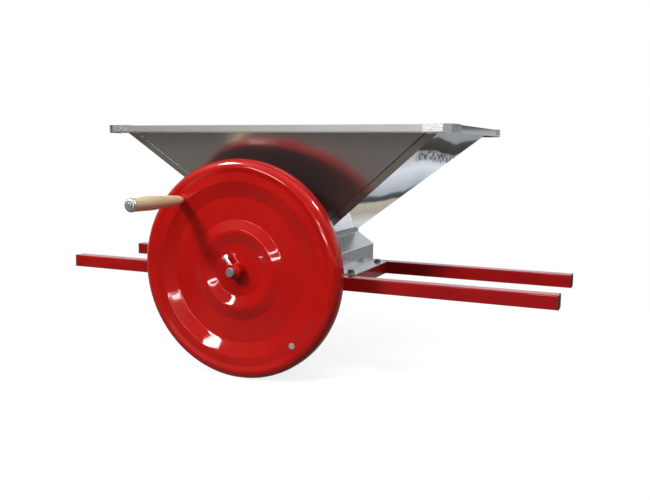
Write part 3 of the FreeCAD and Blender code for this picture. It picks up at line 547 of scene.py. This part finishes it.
# ---------------------------------------------------------------- flywheel
WHEEL_RADIUS = (WHEEL_HIGH.x - WHEEL_LOW.x) / 2
WHEEL_DEPTH = WHEEL_HIGH.y - WHEEL_LOW.y
WHEEL_SHEET = 2.0 * MM
HEM_RADIUS = 3.0 * MM
HUB_RADIUS = 17.0 * MM

# Corners of the pressed face inside the rolled rim: radius, depth behind the face and bend radius, in mm.
PRESSED_FACE = ((221, 0, 9), (211, 2.2, 6), (192, 2.2, 10), (160, 12, 12), (110, 12, 9), (88, 5.6, 9),
                (81, 5.6, 9), (57, 12.6, 10))
PAN_DEPTH = 13 * MM


def flywheel_piece():
    """Pressed disc: rolled rim, flat band, sloping recess, annulus, raised ring and central pan."""
    corners = [(WHEEL_RADIUS, WHEEL_DEPTH - HEM_RADIUS, 0), (WHEEL_RADIUS, 0.0, 18 * MM)]
    corners += [(radius * MM, depth * MM, bend * MM) for radius, depth, bend in PRESSED_FACE]
    corners.append((HUB_RADIUS, PAN_DEPTH, 0))
    front = subdivided(rounded_corners(corners), 6 * MM)
    back = offset_path(front, WHEEL_SHEET)
    hem = []
    hem_centre = Vector((WHEEL_RADIUS - HEM_RADIUS, WHEEL_DEPTH - HEM_RADIUS))
    for step in range(1, 12):
        angle = math.radians(-20 * step)
        hem.append(hem_centre + Vector((math.cos(angle), -math.sin(angle))) * HEM_RADIUS)
    section = front + back[::-1] + hem[::-1]
    disc = new_piece("flywheel_pressing", lathe("flywheel_pressing", section, WHEEL_FACE, 288),
                     "red_wheel_paint", "flywheel_drive")
    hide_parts("flywheel_disc")


# ---------------------------------------------------------------- handle
def smooth_profile(stations, steps=10):
    """Catmull-Rom curve through (share of length, radius) stations."""
    points = [Vector(station) for station in stations]
    points = [points[0] * 2 - points[1]] + points + [points[-1] * 2 - points[-2]]
    path = []
    for a, b, c, d in zip(points, points[1:], points[2:], points[3:]):
        for step in range(steps):
            t = step / steps
            curve = 2 * b + (c - a) * t + (2 * a - 5 * b + 4 * c - d) * t * t
            curve += (3 * b - 3 * c + d - a) * t * t * t
            path.append(curve / 2)
    path.append(points[-2])
    return path


# Stations along the grip, from the wheel outwards: share of the length and radius in mm.
GRIP_STATIONS = ((0.0, 6.8), (0.012, 8.4), (0.06, 10.3), (0.25, 12.2), (0.45, 13.7), (0.62, 14.95),
                 (0.78, 14.5), (0.9, 14.0), (0.985, 13.7), (1.0, 12.9))
GRIP_BORE = 4.1 * MM


def grip_piece():
    """Turned grip: slim at the wheel, swelling towards the hand, with eased ends."""
    length = GRIP_HIGH.y - GRIP_LOW.y
    outer = [(radius * MM, -share * length) for share, radius in smooth_profile(GRIP_STATIONS)]
    section = [(GRIP_BORE, 0.0)] + outer + [(GRIP_BORE, -length)]
    centre = Vector((GRIP_AXIS.x, GRIP_HIGH.y, GRIP_AXIS.z))
    grip = new_piece("wooden_grip", lathe("wooden_grip", section, centre, 96), "beech", "grip")
    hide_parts("handle_grip")


# ---------------------------------------------------------------- stage, lights and camera
# The floor and the air are plain white to the camera. Polished sheet needs something to mirror, so
# glossy rays see a made-up workshop, and diffuse rays see a soft grey.

def by_ray(shader, to_camera, to_glossy, to_diffuse):
    """A surface that looks different to the camera, to glossy rays and to all other rays."""
    path = shader.add("ShaderNodeLightPath")
    inner = shader.add("ShaderNodeMixShader", Fac=path.outputs["Is Glossy Ray"])
    shader.put(inner, "1", to_diffuse)
    shader.put(inner, "2", to_glossy)
    outer = shader.add("ShaderNodeMixShader", Fac=path.outputs["Is Camera Ray"])
    shader.put(outer, "1", inner.outputs[0])
    shader.put(outer, "2", to_camera)
    return outer.outputs[0]


def glow(shader, tone, strength=1.0):
    return shader.add("ShaderNodeEmission", Color=tone, Strength=strength).outputs[0]


def pale_floor(shader):
    """Almost white, with the object's soft shadow near it, and plain white further away."""
    matt = shader.add("ShaderNodeBsdfDiffuse", Color=colour(0.36, 0.36, 0.36))
    near = shader.add("ShaderNodeAddShader")
    shader.put(near, "0", matt.outputs[0])
    shader.put(near, "1", glow(shader, colour(1, 1, 1), 0.80))
    distance = shader.add("ShaderNodeVectorMath", {"operation": "LENGTH"})
    shader.put(distance, "0", shader.place)
    far = shader.ramp(distance.outputs["Value"], (0.45, 0.0), (1.0, 1.0))
    both = shader.add("ShaderNodeMixShader", Fac=far)
    shader.put(both, "1", near.outputs[0])
    shader.put(both, "2", glow(shader, colour(1, 1, 1)))
    return both.outputs[0]


def workshop_floor(shader):
    """What sheet metal mirrors below the horizon: dark in front, grey beneath, and clutter behind.

    The clutter lies in stripes that run away from the object, from under it out to its right.
    """
    place = shader.parts(shader.place)
    across = shader.plus(place["X"], shader.span(shader.noise(1.3, 2.0), -0.07, 0.07))
    depth = place["Y"]
    clutter = shader.bands(
        across, (-0.30, (0.60, 0.58, 0.55)), (-0.10, (0.52, 0.50, 0.46)), (-0.07, (0.72, 0.73, 0.74)),
        (-0.03, (0.46, 0.43, 0.36)), (0.010, (0.55, 0.50, 0.40)), (0.018, (0.06, 0.06, 0.07)),
        (0.036, (0.10, 0.11, 0.13)), (0.044, (0.42, 0.46, 0.52)), (0.09, (0.62, 0.67, 0.73)),
        (0.13, (0.80, 0.86, 0.93)), (0.17, (0.56, 0.60, 0.65)), (0.20, (0.44, 0.45, 0.47)),
        (0.206, (0.05, 0.05, 0.05)), (0.262, (0.08, 0.08, 0.07)), (0.272, (0.30, 0.33, 0.37)),
        (0.32, (0.36, 0.39, 0.43)), (0.33, (0.14, 0.15, 0.14)), (0.6, (0.24, 0.25, 0.25)))
    gravel = shader.ramp(shader.noise(30.0, 3.0, roughness=0.8), (0.44, 0.05), (0.54, 0.9))
    heap = shader.bands(across, (0.150, 0.0), (0.160, 1.0), (0.198, 1.0), (0.205, 0.0))
    far_side = shader.bands(depth, (1.5, 0.0), (1.6, 1.0))
    speckled = shader.multiplied(clutter, gravel, shader.times(heap, far_side))
    below = shader.bands(depth, (-1.0, (0.05, 0.05, 0.05)), (-0.9, (0.09, 0.085, 0.08)),
                         (-0.72, (0.215, 0.203, 0.187)), (0.4, (0.19, 0.18, 0.17)))
    return shader.mix(shader.bands(depth, (0.4, 0.0), (0.64, 1.0)), below, speckled)


def add_floor():
    mesh = bmesh.new()
    bmesh.ops.create_grid(mesh, x_segments=1, y_segments=1, size=30)
    data = bpy.data.meshes.new("floor")
    mesh.to_mesh(data)
    mesh.free()
    floor = bpy.data.objects.new("floor", data)
    floor.location.z = FLOOR_Z
    shader = new_shader("pale_floor")
    mirrored = glow(shader, workshop_floor(shader))
    soft = glow(shader, colour(0.07, 0.066, 0.066))
    shader.put(shader.output, "Surface", by_ray(shader, pale_floor(shader), mirrored, soft))
    data.materials.append(shader.owner)
    bpy.context.scene.collection.objects.link(floor)


def add_world():
    """White to the camera. Glossy rays see a dark room in front, with a band at eye level that pales
    towards the right for the hopper's lip, and a bright hazy wall behind. Diffuse rays see a soft grey
    that brightens upwards.
    """
    world = bpy.data.worlds.new("studio")
    bpy.context.scene.world = world
    shader = Shader(world, "Generated")
    direction = shader.parts(shader.place)
    height = direction["Z"]
    wall = shader.ramp(
        height, (0.0, (0.60, 0.61, 0.63)), (0.022, (0.58, 0.60, 0.63)), (0.028, (0.12, 0.14, 0.17)),
        (0.06, (0.16, 0.18, 0.22)), (0.09, (0.66, 0.69, 0.72)), (0.28, (0.80, 0.85, 0.88)),
        (0.5, (0.50, 0.51, 0.53)), (1.0, (0.62, 0.63, 0.65)))
    clouds = shader.ramp(shader.noise(4.0, 3.0), (0.35, (0.80, 0.78, 0.76)), (0.65, (1.15, 1.18, 1.22)))
    front = shader.ramp(height, (0.14, (0.05, 0.05, 0.05)), (0.55, (0.08, 0.08, 0.08)),
                        (1.0, (0.62, 0.63, 0.65)))
    eye_level = shader.bands(direction["X"], (-0.66, (0.05, 0.05, 0.05)), (-0.22, (0.72, 0.70, 0.67)))
    front = shader.mix(shader.ramp(height, (0.05, 1.0), (0.16, 0.0)), front, eye_level)
    to_front = shader.bands(direction["Y"], (-0.2, 1.0), (0.0, 0.0))
    mirrored = shader.mix(to_front, shader.multiplied(wall, clouds), front)
    path = shader.add("ShaderNodeLightPath")
    sky = shader.ramp(height, (0.0, 0.15), (0.5, 0.34), (1.0, 0.55))
    tone = shader.mix(path.outputs["Is Glossy Ray"], sky, mirrored)
    tone = shader.mix(path.outputs["Is Camera Ray"], tone, colour(1, 1, 1))
    shader.set(Color=tone)


def add_softbox(name, direction, distance, size, radiance, across=None, glossy=True, receivers=None):
    """Area light at a distance from the flywheel, turned to face it. It either gives glints or lights.

    The size is its width and height as seen from the flywheel, in degrees. The width runs level unless
    a direction across is given. It can be kept to a collection of receivers.
    """
    light = bpy.data.lights.new(name, "AREA")
    light.shape = "RECTANGLE"
    light.size, light.size_y = (2 * distance * math.tan(math.radians(angle) / 2) for angle in size)
    light.energy = radiance * math.pi * light.size * light.size_y
    lamp = bpy.data.objects.new(name, light)
    towards = Vector(direction).normalized()
    right = Vector(across).normalized() if across else Vector((0, 0, 1)).cross(towards).normalized()
    up = towards.cross(right).normalized()
    axes = Matrix((up.cross(towards), up, towards)).transposed()
    lamp.rotation_euler = axes.to_euler()
    lamp.location = WHEEL_AXIS + towards * distance
    lamp.visible_glossy = glossy
    lamp.visible_diffuse = not glossy
    if receivers:
        lamp.light_linking.receiver_collection = receivers
    bpy.context.scene.collection.objects.link(lamp)


def add_bar(name, start, end, thickness, radiance, distance=12.0):
    """Long thin light that runs from one direction to another, with a thickness in degrees."""
    start, end = Vector(start).normalized(), Vector(end).normalized()
    length = math.degrees(start.angle(end))
    add_softbox(name, start + end, distance, (length, thickness), radiance, across=end - start)


def all_but_hopper():
    """Every piece except the hopper panels, whose broad polished faces a strong lamp would wash out."""
    pieces = bpy.data.collections.new("all_but_hopper")
    for piece in bpy.context.scene.objects:
        if piece.type == "MESH" and not piece.name.startswith("hopper"):
            pieces.objects.link(piece)
    return pieces


def add_lights():
    """Three lights that leave no glint, and windows, a door frame and lamps that only glint."""
    others = all_but_hopper()
    add_softbox("key_light", (-0.30, -0.81, 0.52), 3.2, (7.0, 7.0), 98.0, glossy=False)
    add_softbox("overhead_light", (0.30, -0.45, 0.85), 3.0, (25.0, 25.0), 6.5, glossy=False)
    add_softbox("rear_fill", (0.45, 0.78, 0.5), 4.0, (25.0, 25.0), 4.5, glossy=False)
    add_bar("left_window", (-0.29, -0.93, 0.185), (-0.44, -0.86, 0.30), 2.0, 32.0)
    add_bar("window_sill", (-0.20, -0.98, -0.012), (-0.36, -0.93, 0.09), 0.9, 26.0)
    add_bar("door_sill", (-0.07, -1.0, 0.0), (-0.20, -0.98, -0.012), 0.8, 20.0)
    add_bar("door_lower_rail", (-0.08, -1.0, 0.028), (0.10, -1.0, 0.028), 1.8, 26.0)
    add_bar("door_upper_rail", (-0.07, -1.0, 0.108), (0.06, -1.0, 0.108), 1.2, 22.0)
    add_bar("door_post", (-0.075, -1.0, 0.03), (-0.075, -1.0, 0.112), 0.9, 18.0)
    add_softbox("rear_lamp", (0.29, 0.92, 0.24), 6.0, (6.0, 6.0), 2.5)
    add_softbox("top_left_lamp", (-0.53, -0.50, 0.68), 6.0, (10.0, 9.0), 150.0, receivers=others)
    add_softbox("top_right_lamp", (0.62, -0.1, 0.73), 6.0, (6.0, 8.0), 150.0, receivers=others)


EYE = (0.7462, -1.6134, 0.3115)
FOCAL_LENGTH_MM = 40.62
LENS_SHIFT = -0.0129
TURN_DEGREES = 23.6
LOOK_DOWN_DEGREES = 7.29
ROLL_DEGREES = 0.54


def add_camera():
    """View from the right of the flywheel, at about the height of the rim."""
    camera = bpy.data.cameras.new("camera")
    camera.sensor_width = 36.0
    camera.lens = FOCAL_LENGTH_MM
    camera.shift_y = LENS_SHIFT
    eye = bpy.data.objects.new("camera", camera)
    turn = Matrix.Rotation(math.radians(TURN_DEGREES), 3, "Z")
    tilt = Matrix.Rotation(math.radians(90 - LOOK_DOWN_DEGREES), 3, "X")
    roll = Matrix.Rotation(math.radians(ROLL_DEGREES), 3, "Z")
    eye.rotation_euler = (turn @ tilt @ roll).to_euler()
    eye.location = EYE
    bpy.context.scene.collection.objects.link(eye)
    bpy.context.scene.camera = eye


dress_frame()
flywheel_piece()
grip_piece()
add_floor()
add_world()
add_lights()
add_camera()
bpy.context.scene.view_settings.view_transform = "Standard"
